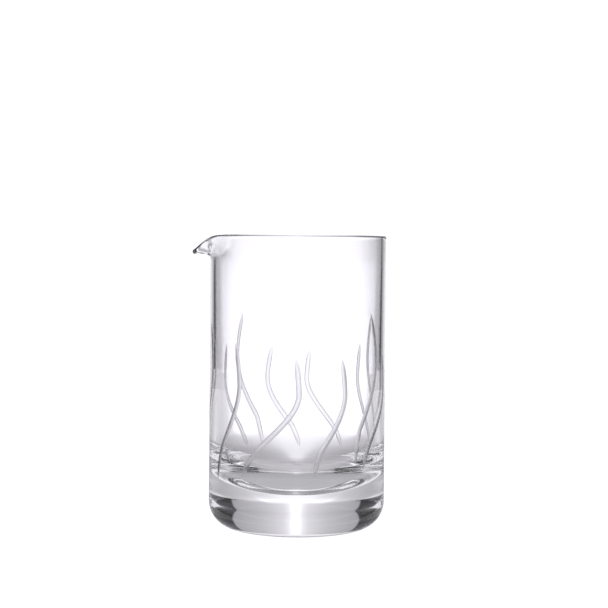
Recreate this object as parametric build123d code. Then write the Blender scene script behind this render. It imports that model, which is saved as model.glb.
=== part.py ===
from build123d import *
import math
import os

os.makedirs("parts", exist_ok=True)

# A bartender's mixing glass: one seamless piece of clear glass. +Z is up, the origin is on the
# vessel's axis at the plane it stands on, and the pouring spout points along -X.
# Lengths are in mm, angles in degrees. Azimuth is 0 at the front (-Y) and 90 at +X.

# Vessel
OUTER_R = 45.0
HEIGHT = 150.0
WALL = 2.5            # wall at the rim and down to the spout's foot
LOW_WALL = 3.4        # wall where it meets the bowl of the bottom
FLOOR_Z = 18.5        # top of the thick bottom at the axis
BOWL_HEIGHT = 28.0    # height over which the inner wall curves in to the floor
BOWL_SIDE = 0.45      # how far the curve keeps to the wall, as a share of BOWL_HEIGHT
BOWL_FLAT = 0.7       # how far it keeps to the floor, as a share of the inner radius
HEEL_R = 14.0         # radius between the outer wall and the underside

# Pouring spout, pulled outward and down from the rim
SPOUT_FOOT_Z = 136.5  # height where the wall starts to bend outward
SPOUT_HALF = 34.0     # azimuth either side of the spout where the rim is round again
SPOUT_DIP_WIDTH = 12.8  # azimuth either side over which the lip's dip eases off
SPOUT_REACH = 9.2     # how far the lip is pulled out
SPOUT_DROP = 7.6     # how far the lip is pulled down
SPOUT_TIP_SOFT = 4.0  # azimuth that the spout's point is rounded over
SPOUT_LEAN = 88.0     # angle of the lip from upright at the tip
OUTER_BEND = (3.9, 6.0)  # control lengths at the foot and at the lip, outside
INNER_BEND = (5.0, 7.5)  # the same inside
SPOUT_STEPS = 12      # sections either side of the spout's middle
RIM_ROUND = 4 / 3     # control length, in half walls, that makes the lip's edge a half circle
JOIN_TOLERANCE = 0.001  # gap that is closed where the rim and spout meet the wall

# Wheel-cut decoration: shallow rounded grooves on the outside of the wall
CUT_WIDTH = 2.8
CUT_DEPTH = 0.5
CUT_TAPER = 0.16      # share of a cut's length over which it runs out at each end
CUT_CLEAR = 0.08      # how far the tool stands off the wall at a cut's ends
CUT_STEPS = 11        # straight steps that a cut is swept in
# Each cut: azimuth and height of its top, height of its foot, rise and swing in degrees
CUTS = (
    (-43.0, 99.5, 25.0, 4.0, 18.0),
    (-1.0, 92.5, 27.0, 2.5, 36.0),
    (29.0, 91.5, 29.0, 3.0, 18.0),
    (52.5, 114.5, 34.0, 8.5, 12.0),
    (72.5, 92.5, 32.0, 3.0, 25.0),
    (112.5, 111.5, 34.0, 6.0, 15.0),
    (128.0, 95.0, 32.0, 3.0, 18.0),
    (171.0, 90.5, 33.0, 2.5, 26.0),
    (198.0, 92.5, 32.0, 4.5, 20.0),
    (222.0, 111.5, 33.0, 7.5, 16.0),
    (242.5, 94.5, 32.0, 3.5, 23.0),
    (283.0, 108.5, 32.0, 6.0, 16.0),
)


def smooth(t):
    """Ease from 0 to 1 as t goes from 0 to 1."""
    t = min(1.0, max(0.0, t))
    return t * t * (3.0 - 2.0 * t)


def on_azimuth(radius, height, azimuth):
    """A point at a radius and height, azimuth 0 at -Y and 90 at +X."""
    angle = math.radians(azimuth)
    return Vector(radius * math.sin(angle), -radius * math.cos(angle), height)


def lower_vessel():
    """The heavy bottom and the straight wall, up to the foot of the spout."""
    inner_r = OUTER_R - WALL
    bowl_r = OUTER_R - LOW_WALL
    bowl_top = FLOOR_Z + BOWL_HEIGHT
    outline = Wire([
        Line((0, 0), (OUTER_R - HEEL_R, 0)),
        RadiusArc((OUTER_R - HEEL_R, 0), (OUTER_R, HEEL_R), -HEEL_R),
        Line((OUTER_R, HEEL_R), (OUTER_R, SPOUT_FOOT_Z)),
        Line((OUTER_R, SPOUT_FOOT_Z), (inner_r, SPOUT_FOOT_Z)),
        Line((inner_r, SPOUT_FOOT_Z), (bowl_r, bowl_top)),
        Bezier(
            (bowl_r, bowl_top),
            (bowl_r, bowl_top - BOWL_SIDE * BOWL_HEIGHT),
            (bowl_r * BOWL_FLAT, FLOOR_Z),
            (0, FLOOR_Z),
        ),
        Line((0, FLOOR_Z), (0, 0)),
    ])
    return revolve(Plane.XZ * Face(outline), Axis.Z)


def wall_section(off):
    """The wall and rim above the spout's foot, in the radial plane off degrees from the spout."""
    soft_end = math.hypot(SPOUT_HALF, SPOUT_TIP_SOFT) - SPOUT_TIP_SOFT
    away = (math.hypot(off, SPOUT_TIP_SOFT) - SPOUT_TIP_SOFT) / soft_end
    pull = (1 - min(1.0, away)) ** 2
    dip = math.exp(-((off / SPOUT_DIP_WIDTH) ** 2))
    lean = math.radians(SPOUT_LEAN * pull ** 0.8)
    along = Vector(math.sin(lean), math.cos(lean))
    across = Vector(math.cos(lean), -math.sin(lean))
    centre = Vector(OUTER_R - WALL / 2 + SPOUT_REACH * pull, HEIGHT - WALL / 2 - SPOUT_DROP * dip)
    outer_end = centre + across * (WALL / 2)
    inner_end = centre - across * (WALL / 2)
    rim = along * (RIM_ROUND * WALL / 2)
    outer_foot = Vector(OUTER_R, SPOUT_FOOT_Z)
    inner_foot = Vector(OUTER_R - WALL, SPOUT_FOOT_Z)
    up = Vector(0, 1)
    plane = Plane(origin=(0, 0, 0), x_dir=on_azimuth(1, 0, off - 90), z_dir=on_azimuth(1, 0, off + 180))
    section = Wire([
        Bezier(outer_foot, outer_foot + up * OUTER_BEND[0], outer_end - along * OUTER_BEND[1], outer_end),
        Bezier(outer_end, outer_end + rim, inner_end + rim, inner_end),
        Bezier(inner_end, inner_end - along * INNER_BEND[1], inner_foot + up * INNER_BEND[0], inner_foot),
        Line(inner_foot, outer_foot),
    ])
    return plane * section


def round_rim():
    """The wall and rim above the spout's foot, all the way round except at the spout."""
    section = Face(wall_section(SPOUT_HALF))
    return revolve(section, Axis.Z, 360 - 2 * SPOUT_HALF)


def spout():
    """The part of the wall and rim that is pulled out into the spout."""
    steps = range(-SPOUT_STEPS, SPOUT_STEPS + 1)
    return Solid.make_loft([wall_section(SPOUT_HALF * step / SPOUT_STEPS) for step in steps])


def cut_tool(azimuth, top, foot, rise, swing):
    """The volume that the round edge of the cutting wheel sweeps along one stroke."""
    tool_r = (CUT_WIDTH ** 2 / 4 + CUT_DEPTH ** 2) / (2 * CUT_DEPTH)
    centres = []
    for step in range(CUT_STEPS + 1):
        t = step / CUT_STEPS
        bow = rise * math.sin(math.pi * min(1.0, t / 0.75))
        turn = azimuth + bow - swing * smooth((t - 0.3) / 0.7)
        depth = smooth(min(t, 1 - t) / CUT_TAPER) * (CUT_DEPTH + CUT_CLEAR) - CUT_CLEAR
        centres.append(on_azimuth(OUTER_R + tool_r - depth, top + (foot - top) * t, turn))
    sections = []
    for step, centre in enumerate(centres):
        heading = centres[min(step + 1, CUT_STEPS)] - centres[max(step - 1, 0)]
        outward = Vector(centre.X, centre.Y, 0)
        plane = Plane(origin=centre, x_dir=outward, z_dir=heading)
        sections.append(plane * Wire.make_circle(tool_r))
    return Solid.make_loft(sections, True)


def mixing_glass():
    """The whole vessel, with the decoration cut into it."""
    lower = lower_vessel()
    for cut in CUTS:
        lower = lower - cut_tool(*cut)
    vessel = lower.fuse(round_rim(), spout(), tol=JOIN_TOLERANCE)
    return vessel.solid()


if __name__ == "__main__":
    glass = mixing_glass()
    glass.label = "mixing_glass"
    export_step(glass, "parts/mixing_glass.step")
    print("mixing_glass volume", round(glass.volume / 1000, 2), "cm3, box", glass.bounding_box())
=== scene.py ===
"""A bartender's mixing glass in a plain bright studio: clear glass, a pulled spout and cut strokes."""
import math

import bmesh
import bpy
from mathutils import Euler, Matrix, Vector


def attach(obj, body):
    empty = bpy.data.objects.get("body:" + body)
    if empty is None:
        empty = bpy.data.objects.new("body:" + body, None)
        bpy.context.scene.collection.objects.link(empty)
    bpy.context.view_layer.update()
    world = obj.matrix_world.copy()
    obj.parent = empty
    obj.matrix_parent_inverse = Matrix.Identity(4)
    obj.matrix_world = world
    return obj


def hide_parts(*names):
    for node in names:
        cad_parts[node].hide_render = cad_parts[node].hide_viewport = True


MM = 0.001
NODE = "mixing_glass"

# The vessel, in mm: the same driving dimensions as the CAD part
OUTER_R = 45.0
HEIGHT = 150.0
WALL = 2.5
LOW_WALL = 3.4
FLOOR_Z = 18.5
BOWL_HEIGHT = 28.0
BOWL_SIDE = 0.45
BOWL_FLAT = 0.7
HEEL_R = 14.0
SPOUT_FOOT_Z = 136.5
SPOUT_HALF = 34.0
SPOUT_DIP_WIDTH = 12.8
SPOUT_REACH = 9.2
SPOUT_DROP = 7.6
SPOUT_TIP_SOFT = 4.0
SPOUT_LEAN = 88.0
OUTER_BEND = (3.9, 6.0)
INNER_BEND = (5.0, 7.5)
RIM_ROUND = 4 / 3
SPOUT_AZIMUTH = 270.0

# The cut strokes: azimuth and height of the top, height of the foot, rise and swing in degrees
CUT_WIDTH = 2.8
CUT_DEPTH = 0.5
CUT_TAPER = 0.16
CUT_CLEAR = 0.08
CUTS = (
    (-43.0, 99.5, 25.0, 4.0, 18.0),
    (-1.0, 92.5, 27.0, 2.5, 36.0),
    (29.0, 91.5, 29.0, 3.0, 18.0),
    (52.5, 114.5, 34.0, 8.5, 12.0),
    (72.5, 92.5, 32.0, 3.0, 25.0),
    (112.5, 111.5, 34.0, 6.0, 15.0),
    (128.0, 95.0, 32.0, 3.0, 18.0),
    (171.0, 90.5, 33.0, 2.5, 26.0),
    (198.0, 92.5, 32.0, 4.5, 20.0),
    (222.0, 111.5, 33.0, 7.5, 16.0),
    (242.5, 94.5, 32.0, 3.5, 23.0),
    (283.0, 108.5, 32.0, 6.0, 16.0),
)

# Mesh fineness
SPOUT_COLUMN = 0.75   # degrees between columns in the spout
ROUND_COLUMN = 1.25   # degrees between columns elsewhere
TOOL_SIDES = 48
TOOL_STEPS = 44
UNDERSIDE_STEPS = 10
HEEL_STEPS = 28
OUTER_STEPS = 26
INNER_STEPS = 20
BOWL_STEPS = 56
RIM_STEPS = 18        # along each of the rim's three curves
WELD = 1e-7           # metres within which the cut mesh's points are one point

# Optics and surface
GLASS_IOR = 1.52
CUT_HAZE = (0.36, 0.56)  # least and most roughness of the ground strokes

# Camera
CAMERA_AT = (0.0031, -0.891, 0.154)
CAMERA_DOWN = 2.52
CAMERA_ROLL = 0.5
CAMERA_LENS = 103.0


def smooth(t):
    """Ease from 0 to 1 as t goes from 0 to 1."""
    t = min(1.0, max(0.0, t))
    return t * t * (3.0 - 2.0 * t)


def on_azimuth(radius, height, azimuth):
    """A point in mm at a radius and height, azimuth 0 at the front (-Y) and 90 at +X."""
    angle = math.radians(azimuth)
    return Vector((radius * math.sin(angle), -radius * math.cos(angle), height))


def bezier(a, b, c, d, count):
    """count + 1 points along a cubic Bezier, ends included."""
    points = []
    for i in range(count + 1):
        t = i / count
        s = 1 - t
        points.append(a * s ** 3 + b * (3 * s * s * t) + c * (3 * s * t * t) + d * t ** 3)
    return points


def straight(a, b, count):
    """count + 1 points along a straight line, ends included."""
    return [a.lerp(b, i / count) for i in range(count + 1)]


def bottom_outline():
    """Underside, heel and outer wall up to the spout's foot, as (radius, height)."""
    heel = []
    for i in range(HEEL_STEPS + 1):
        angle = math.radians(-90 + 90 * i / HEEL_STEPS)
        radius = OUTER_R - HEEL_R + HEEL_R * math.cos(angle)
        heel.append(Vector((radius, HEEL_R + HEEL_R * math.sin(angle))))
    underside = straight(Vector((0, 0)), heel[0], UNDERSIDE_STEPS)
    wall = straight(heel[-1], Vector((OUTER_R, SPOUT_FOOT_Z)), OUTER_STEPS)
    return underside[:-1] + heel + wall[1:]


def inside_outline():
    """Inner wall from the spout's foot down, the bowl and the floor, as (radius, height)."""
    bowl_r = OUTER_R - LOW_WALL
    bowl_top = FLOOR_Z + BOWL_HEIGHT
    wall_top = Vector((OUTER_R - WALL, SPOUT_FOOT_Z))
    wall = straight(wall_top, Vector((bowl_r, bowl_top)), INNER_STEPS)
    bowl = bezier(
        Vector((bowl_r, bowl_top)),
        Vector((bowl_r, bowl_top - BOWL_SIDE * BOWL_HEIGHT)),
        Vector((bowl_r * BOWL_FLAT, FLOOR_Z)),
        Vector((0, FLOOR_Z)),
        BOWL_STEPS,
    )
    return wall[:-1] + bowl


def rim_outline(off):
    """Wall and rim above the spout's foot, off degrees from the spout, from outside to inside."""
    soft_end = math.hypot(SPOUT_HALF, SPOUT_TIP_SOFT) - SPOUT_TIP_SOFT
    away = (math.hypot(off, SPOUT_TIP_SOFT) - SPOUT_TIP_SOFT) / soft_end
    pull = (1 - min(1.0, away)) ** 2
    dip = math.exp(-((off / SPOUT_DIP_WIDTH) ** 2))
    lean = math.radians(SPOUT_LEAN * pull ** 0.8)
    along = Vector((math.sin(lean), math.cos(lean)))
    across = Vector((math.cos(lean), -math.sin(lean)))
    centre = Vector((OUTER_R - WALL / 2 + SPOUT_REACH * pull, HEIGHT - WALL / 2 - SPOUT_DROP * dip))
    outer_end = centre + across * (WALL / 2)
    inner_end = centre - across * (WALL / 2)
    rim = along * (RIM_ROUND * WALL / 2)
    outer_foot = Vector((OUTER_R, SPOUT_FOOT_Z))
    inner_foot = Vector((OUTER_R - WALL, SPOUT_FOOT_Z))
    up = Vector((0, 1))
    outer_bend = (outer_foot + up * OUTER_BEND[0], outer_end - along * OUTER_BEND[1])
    inner_bend = (inner_end - along * INNER_BEND[1], inner_foot + up * INNER_BEND[0])
    outside = bezier(outer_foot, *outer_bend, outer_end, RIM_STEPS)
    lip = bezier(outer_end, outer_end + rim, inner_end + rim, inner_end, RIM_STEPS)
    inside = bezier(inner_end, *inner_bend, inner_foot, RIM_STEPS)
    return outside[1:] + lip[1:] + inside[1:-1]


def columns():
    """Azimuths of the mesh's columns: close together in the spout, wider elsewhere."""
    spout = int(2 * SPOUT_HALF / SPOUT_COLUMN)
    rest = int((360 - 2 * SPOUT_HALF) / ROUND_COLUMN)
    offs = [-SPOUT_HALF + 2 * SPOUT_HALF * i / spout for i in range(spout)]
    offs += [SPOUT_HALF + (360 - 2 * SPOUT_HALF) * i / rest for i in range(rest)]
    return offs


def vessel_mesh():
    """The whole vessel before cutting: one closed skin of columns, each with the same points."""
    mesh = bmesh.new()
    below = bottom_outline()
    within = inside_outline()
    rows = []
    for off in columns():
        to_spout = (off + 180) % 360 - 180
        outline = below[1:] + rim_outline(to_spout) + within[:-1]
        rows.append([mesh.verts.new(on_azimuth(p.x, p.y, SPOUT_AZIMUTH + off) * MM) for p in outline])
    low = mesh.verts.new((0, 0, below[0].y * MM))
    high = mesh.verts.new((0, 0, within[-1].y * MM))
    for here, beyond in zip(rows, rows[1:] + rows[:1]):
        mesh.faces.new((low, beyond[0], here[0]))
        mesh.faces.new((high, here[-1], beyond[-1]))
        for i in range(len(here) - 1):
            mesh.faces.new((here[i], beyond[i], beyond[i + 1], here[i + 1]))
    return mesh


def cut_mesh(azimuth, top, foot, rise, swing):
    """The volume that the round edge of the cutting wheel sweeps along one stroke."""
    tool_r = (CUT_WIDTH ** 2 / 4 + CUT_DEPTH ** 2) / (2 * CUT_DEPTH)
    centres = []
    for step in range(TOOL_STEPS + 1):
        t = step / TOOL_STEPS
        bow = rise * math.sin(math.pi * min(1.0, t / 0.75))
        turn = azimuth + bow - swing * smooth((t - 0.3) / 0.7)
        depth = smooth(min(t, 1 - t) / CUT_TAPER) * (CUT_DEPTH + CUT_CLEAR) - CUT_CLEAR
        centres.append(on_azimuth(OUTER_R + tool_r - depth, top + (foot - top) * t, turn))
    mesh = bmesh.new()
    rings = []
    for step, centre in enumerate(centres):
        heading = (centres[min(step + 1, TOOL_STEPS)] - centres[max(step - 1, 0)]).normalized()
        side = heading.cross(Vector((centre.x, centre.y, 0))).normalized()
        lift = heading.cross(side)
        ring = []
        for k in range(TOOL_SIDES):
            angle = 2 * math.pi * k / TOOL_SIDES
            spoke = (side * math.cos(angle) + lift * math.sin(angle)) * tool_r
            ring.append(mesh.verts.new((centre + spoke) * MM))
        rings.append(ring)
    for here, beyond in zip(rings, rings[1:]):
        for k in range(TOOL_SIDES):
            after = (k + 1) % TOOL_SIDES
            mesh.faces.new((here[k], here[after], beyond[after], beyond[k]))
    mesh.faces.new(list(reversed(rings[0])))
    mesh.faces.new(rings[-1])
    return mesh


def new_object(name, mesh, material):
    """A mesh object in the scene, from bmesh, with one material and smooth faces."""
    bmesh.ops.recalc_face_normals(mesh, faces=mesh.faces)
    for face in mesh.faces:
        face.smooth = True
    data = bpy.data.meshes.new(name)
    mesh.to_mesh(data)
    mesh.free()
    data.materials.append(material)
    made = bpy.data.objects.new(name, data)
    bpy.context.scene.collection.objects.link(made)
    return made


def cut_glass(glass, cut_material):
    """Cuts the strokes into the vessel. Their faces keep the cut material, with a crisp border."""
    tools = [new_object("cut_tool", cut_mesh(*cut), cut_material) for cut in CUTS]
    glass.data.materials.append(cut_material)
    for tool in tools:
        step = glass.modifiers.new("cut", "BOOLEAN")
        step.operation = "DIFFERENCE"
        step.solver = "MANIFOLD"
        step.material_mode = "TRANSFER"
        step.object = tool
    bpy.context.view_layer.update()
    done = glass.evaluated_get(bpy.context.evaluated_depsgraph_get())
    data = bpy.data.meshes.new_from_object(done)
    glass.modifiers.clear()
    glass.data = data
    for tool in tools:
        bpy.data.objects.remove(tool)
    mesh = bmesh.new()
    mesh.from_mesh(data)
    bmesh.ops.remove_doubles(mesh, verts=mesh.verts, dist=WELD)
    for edge in mesh.edges:
        borders = {face.material_index for face in edge.link_faces}
        edge.smooth = len(borders) == 1
    for face in mesh.faces:
        face.smooth = True
    mesh.to_mesh(data)
    mesh.free()


class Nodes:
    """Short calls for building a node tree."""

    def __init__(self, tree):
        self.tree = tree
        tree.nodes.clear()

    def add(self, kind, **values):
        node = self.tree.nodes.new(kind)
        for name, value in values.items():
            self.put(value, node.inputs[name])
        return node

    def put(self, value, socket):
        if isinstance(value, bpy.types.NodeSocket):
            self.tree.links.new(value, socket)
        else:
            socket.default_value = value

    def math(self, operation, *values):
        node = self.tree.nodes.new("ShaderNodeMath")
        node.operation = operation
        for value, socket in zip(values, node.inputs):
            self.put(value, socket)
        return node.outputs[0]

    def mix(self, share, a, b):
        node = self.tree.nodes.new("ShaderNodeMix")
        for value, socket in ((share, 0), (a, 2), (b, 3)):
            self.put(value, node.inputs[socket])
        return node.outputs[0]

    def curve(self, value, stops):
        """A piecewise straight curve through (input, output) stops."""
        first, last = stops[0][0], stops[-1][0]
        share = self.tree.nodes.new("ShaderNodeMapRange")
        self.put(value, share.inputs["Value"])
        share.inputs["From Min"].default_value = first
        share.inputs["From Max"].default_value = last
        ramp = self.tree.nodes.new("ShaderNodeValToRGB")
        self.put(share.outputs[0], ramp.inputs[0])
        elements = ramp.color_ramp.elements
        while len(elements) < len(stops):
            elements.new(0.5)
        for element, (place, _) in zip(elements, stops):
            element.position = (place - first) / (last - first)
        for element, (_, level) in zip(elements, stops):
            element.color = (level, level, level, 1)
        return ramp.outputs[0]

    def azimuth(self, x, y):
        """Degrees round from straight behind the glass, the same on both sides."""
        return self.math("ABSOLUTE", self.math("MULTIPLY", self.math("ARCTAN2", x, y), math.degrees(1)))


# Brightness of the studio round the glass, by degrees from straight behind it, the same on both
# sides. Only the glass sees it: the camera sees the plain whites below.
SCREEN_HIGH = (
    (0, 1.3), (1.4, 1.3), (3.0, 0.98), (5.5, 0.8), (11, 0.66), (16, 0.57), (20, 0.52), (26, 0.46),
    (34, 0.4), (35.5, 0.03), (70, 0.03), (80, 0.75), (100, 1.0), (180, 1.05),
)
SCREEN_LOW = (
    (0, 1.3), (11, 1.3), (14, 0.85), (25, 0.5), (30, 0.45), (31.5, 0.03), (70, 0.03), (80, 0.75),
    (100, 1.0), (180, 1.05),
)
# Glow of the table as the glass sees it, by degrees from straight behind: a painted reflection of the
# screen, darker close to the glass with painted shade
CLOSE_TABLE_PAINTED_REFLECTION_AND_SHADE = (
    (0, 1.0), (3.5, 0.95), (7.5, 0.68), (12, 0.57), (18, 0.5), (24, 0.45), (32, 0.4), (50, 0.42),
    (70, 0.4), (95, 0.15), (180, 0.25),
)
DISTANT_TABLE_PAINTED_REFLECTION = (
    (0, 1.3), (11, 1.3), (14, 0.85), (25, 0.55), (34, 0.55), (42, 0.8), (80, 0.8), (100, 1.0),
    (180, 1.0),
)
# Painted shadow of the glass: the table's glow right under it
TABLE_PAINTED_SHADOW = 0.5
TABLE_RADIUS = 0.8
TABLE_GAP = 0.3                                    # mm between the table and the glass's underside
HIGH_SCREEN = ((-3, 0), (2, 1))                    # elevation over which SCREEN_HIGH takes over
CEILING = ((0, 1), (30, 1), (40, 0.5), (90, 0.4))  # share of the screen's light, by elevation
NEAR_SHADE_FADE = ((0.12, 0), (0.28, 1))                 # metres out over which the distant painted reflection takes over from the painted shade close to the glass
PAINTED_SHADOW_EDGE = ((0.03, 0), (0.055, 1))               # metres out from under the glass over which the painted shadow under it gives way
STUDIO_TINT = (0.962, 0.95, 1.0, 1)
BACKDROP_WHITE = 1.15
TABLE_WHITE = 1.13


def studio():
    """A studio that is plain white to the camera and uneven in what the glass bends and mirrors."""
    world = bpy.data.worlds.new("studio")
    bpy.context.scene.world = world
    world.use_nodes = True
    n = Nodes(world.node_tree)
    view = n.add("ShaderNodeTexCoord")
    axes = n.add("ShaderNodeSeparateXYZ", Vector=view.outputs["Generated"])
    azimuth = n.azimuth(axes.outputs[0], axes.outputs[1])
    elevation = n.math("MULTIPLY", n.math("ARCSINE", axes.outputs[2]), math.degrees(1))
    level = n.mix(
        n.curve(elevation, HIGH_SCREEN),
        n.curve(azimuth, SCREEN_LOW),
        n.curve(azimuth, SCREEN_HIGH),
    )
    level = n.math("MULTIPLY", level, n.curve(elevation, CEILING))
    seen = n.add("ShaderNodeLightPath").outputs["Is Camera Ray"]
    light = n.add("ShaderNodeBackground", Color=STUDIO_TINT, Strength=n.mix(seen, level, BACKDROP_WHITE))
    n.add("ShaderNodeOutputWorld", Surface=light.outputs[0])


def table():
    """The table: plain white to the camera, uneven in what the glass bends and mirrors: a glow with a
    painted reflection of the screen, painted shade close to the glass and a painted shadow under it.
    """
    mesh = bmesh.new()
    bmesh.ops.create_circle(mesh, cap_ends=True, segments=128, radius=TABLE_RADIUS)
    material = bpy.data.materials.new("table")
    material.use_nodes = True
    n = Nodes(material.node_tree)
    place = n.add("ShaderNodeTexCoord")
    axes = n.add("ShaderNodeSeparateXYZ", Vector=place.outputs["Object"])
    x, y = axes.outputs[0], axes.outputs[1]
    azimuth = n.azimuth(x, y)
    distance = n.math("SQRT", n.math("ADD", n.math("MULTIPLY", x, x), n.math("MULTIPLY", y, y)))
    # Painted reflection of the screen on the table, darkened by painted shade close to the glass
    level = n.mix(
        n.curve(distance, NEAR_SHADE_FADE),
        n.curve(azimuth, CLOSE_TABLE_PAINTED_REFLECTION_AND_SHADE),
        n.curve(azimuth, DISTANT_TABLE_PAINTED_REFLECTION),
    )
    # Painted shadow of the glass on the table right under it
    level = n.mix(n.curve(distance, PAINTED_SHADOW_EDGE), TABLE_PAINTED_SHADOW, level)
    seen = n.add("ShaderNodeLightPath").outputs["Is Camera Ray"]
    light = n.add("ShaderNodeEmission", Color=STUDIO_TINT, Strength=n.mix(seen, level, TABLE_WHITE))
    n.add("ShaderNodeOutputMaterial", Surface=light.outputs[0])
    floor = new_object("table", mesh, material)
    floor.location.z = -TABLE_GAP * MM


def glass_material():
    """Clear polished glass with the faint waviness and tint of a heavy hand-finished vessel."""
    material = bpy.data.materials.new("clear_glass")
    material.use_nodes = True
    n = Nodes(material.node_tree)
    place = n.add("ShaderNodeTexCoord").outputs["Object"]
    wave = n.add("ShaderNodeTexNoise", Vector=place, Scale=38.0, Detail=1.0)
    bump = n.add("ShaderNodeBump", Height=wave.outputs[0], Strength=0.02, Distance=0.0004)
    tint = n.add("ShaderNodeMix")
    tint.data_type = "RGBA"
    n.put(wave.outputs[0], tint.inputs[0])
    n.put((0.97, 0.965, 0.978, 1), tint.inputs[6])
    n.put((0.985, 0.982, 0.988, 1), tint.inputs[7])
    shader = n.add("ShaderNodeBsdfPrincipled", Normal=bump.outputs[0])
    n.put(tint.outputs[2], shader.inputs["Base Color"])
    n.put(1.0, shader.inputs["Transmission Weight"])
    n.put(0.0, shader.inputs["Roughness"])
    n.put(GLASS_IOR, shader.inputs["IOR"])
    n.add("ShaderNodeOutputMaterial", Surface=shader.outputs[0])
    return material


def cut_material():
    """Ground glass polished back almost to clear, with the wheel's fine streaks left in it."""
    material = bpy.data.materials.new("cut_glass")
    material.use_nodes = True
    n = Nodes(material.node_tree)
    place = n.add("ShaderNodeTexCoord").outputs["Object"]
    grain = n.add("ShaderNodeTexNoise", Vector=place, Scale=1400.0, Detail=3.0)
    bump = n.add("ShaderNodeBump", Height=grain.outputs[0], Strength=0.25, Distance=0.00006)
    haze = n.curve(grain.outputs[0], ((0.3, CUT_HAZE[0]), (0.7, CUT_HAZE[1])))
    shader = n.add("ShaderNodeBsdfPrincipled", Normal=bump.outputs[0], Roughness=haze)
    n.put((0.96, 0.95, 0.97, 1), shader.inputs["Base Color"])
    n.put(1.0, shader.inputs["Transmission Weight"])
    n.put(GLASS_IOR, shader.inputs["IOR"])
    n.add("ShaderNodeOutputMaterial", Surface=shader.outputs[0])
    return material


def camera():
    """Level with the rim, looking slightly down, as the glass is seen on a bar."""
    data = bpy.data.cameras.new("camera")
    data.lens = CAMERA_LENS
    made = bpy.data.objects.new("camera", data)
    bpy.context.scene.collection.objects.link(made)
    made.location = CAMERA_AT
    aim = Euler((math.radians(90 - CAMERA_DOWN), 0, 0)).to_matrix()
    made.rotation_euler = (aim @ Matrix.Rotation(math.radians(CAMERA_ROLL), 3, "Z")).to_euler()
    bpy.context.scene.camera = made


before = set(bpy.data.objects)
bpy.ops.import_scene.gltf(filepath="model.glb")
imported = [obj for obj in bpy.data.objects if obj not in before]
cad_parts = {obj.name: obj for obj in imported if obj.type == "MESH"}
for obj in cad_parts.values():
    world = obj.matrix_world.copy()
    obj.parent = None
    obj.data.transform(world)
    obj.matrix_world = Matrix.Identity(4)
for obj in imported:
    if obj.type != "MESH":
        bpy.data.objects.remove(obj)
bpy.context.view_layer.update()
camera()
studio()
table()
bpy.context.scene.view_settings.view_transform = "Standard"
cycles = bpy.context.scene.cycles
cycles.max_bounces = 32
cycles.transmission_bounces = 32
cycles.glossy_bounces = 16
glass = new_object("glass_body", vessel_mesh(), glass_material())
cut_glass(glass, cut_material())
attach(glass, "root")
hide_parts(NODE)
